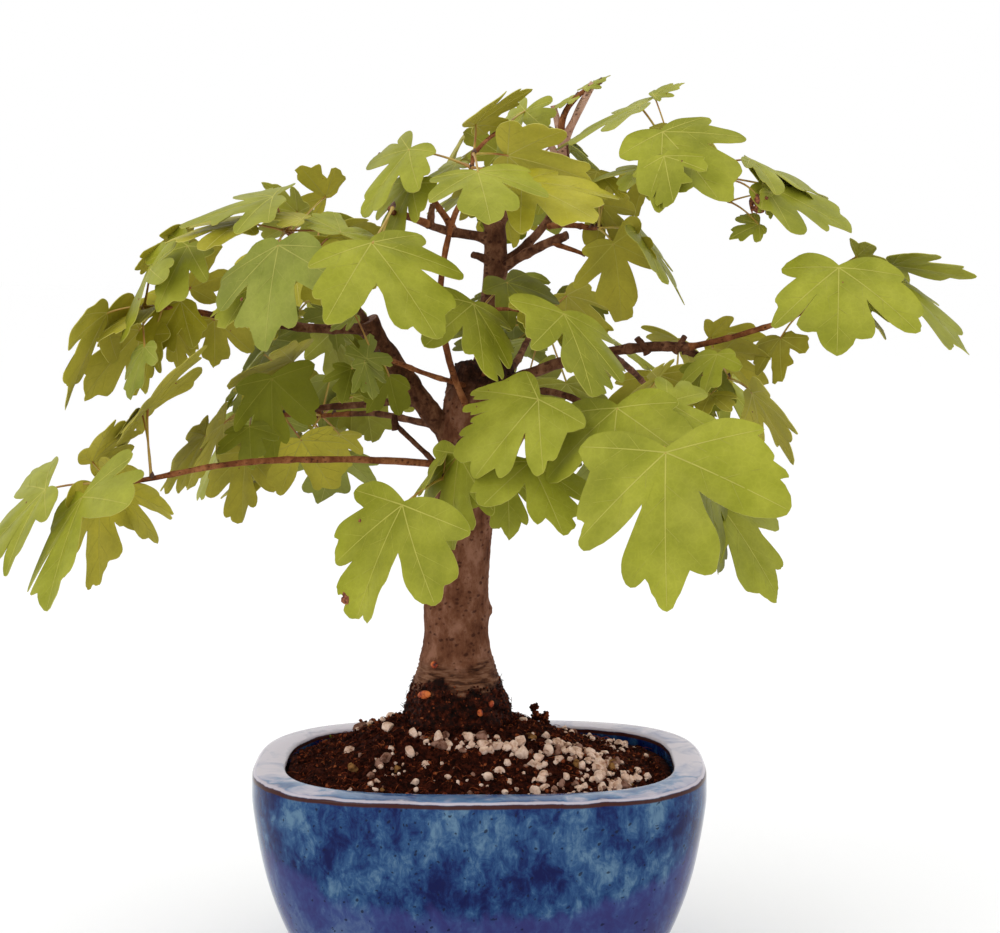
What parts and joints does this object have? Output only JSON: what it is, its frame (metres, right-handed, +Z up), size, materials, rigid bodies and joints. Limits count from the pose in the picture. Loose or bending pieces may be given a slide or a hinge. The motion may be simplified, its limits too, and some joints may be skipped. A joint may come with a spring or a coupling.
{
  "type": "field maple bonsai",
  "caption": "Field maple bonsai with a stout leaning trunk, spreading lobed foliage and a deep glazed pot with rounded corners, filled with soil.",
  "frame": {"origin": "centre of the flat underside of the pot", "axes": "+Z up, +X along the pot's long side to the right, -Y towards the front that the tree is shown from"},
  "size_m": [0.4315, 0.3124, 0.4227],
  "materials": {
    "glaze": "glossy cobalt blue glaze with paler streaks",
    "potting_soil": "loose dark peat with pale pumice grit",
    "bark": "rough brown bark with dark pores",
    "young_bark": "smooth reddish brown young bark",
    "leaves": "matt yellow green leaves with paler veins"
  },
  "bodies": {
    "root": {"pot": "glaze", "soil": "potting_soil", "trunk": "bark", "bough_left": "bark", "leader": "bark", "shoot_low_left": "young_bark", "stub_low_left": "bark", "branch_left_low": "bark", "branch_left_mid": "bark", "branch_left_upper": "bark", "twig_left_inner": "young_bark", "leader_left": "bark", "twig_upper_left": "young_bark", "leader_right": "bark", "twig_right_bare": "young_bark", "limb_top": "bark", "limb_right_upper": "bark", "twig_right_middle": "young_bark", "bough_right": "bark", "shoot_right": "young_bark", "branch_right_side": "bark", "branch_right_low": "bark", "shoot_front_upper": "young_bark", "twig_front_middle": "young_bark", "shoot_front_middle": "young_bark", "shoot_front_low": "young_bark", "branch_back_left": "bark", "branch_back_top": "bark", "branch_back_middle": "bark", "branch_back_right": "bark", "branch_back_low": "bark", "foliage_low_left": "leaves", "foliage_left_middle": "leaves", "foliage_left_upper": "leaves", "foliage_centre_front": "leaves", "foliage_left_inner": "leaves", "foliage_top_front": "leaves", "foliage_top_fork": "leaves", "foliage_top_right": "leaves", "foliage_right_hanging": "leaves", "foliage_right_far": "leaves", "foliage_right_middle": "leaves", "foliage_right_front": "leaves", "foliage_middle_front": "leaves", "foliage_front": "leaves", "foliage_front_low": "leaves", "foliage_left_low": "leaves", "foliage_back_left": "leaves", "foliage_back_top": "leaves", "foliage_back_middle": "leaves", "foliage_back_right": "leaves", "foliage_back_low": "leaves"}
  },
  "joints": []
}
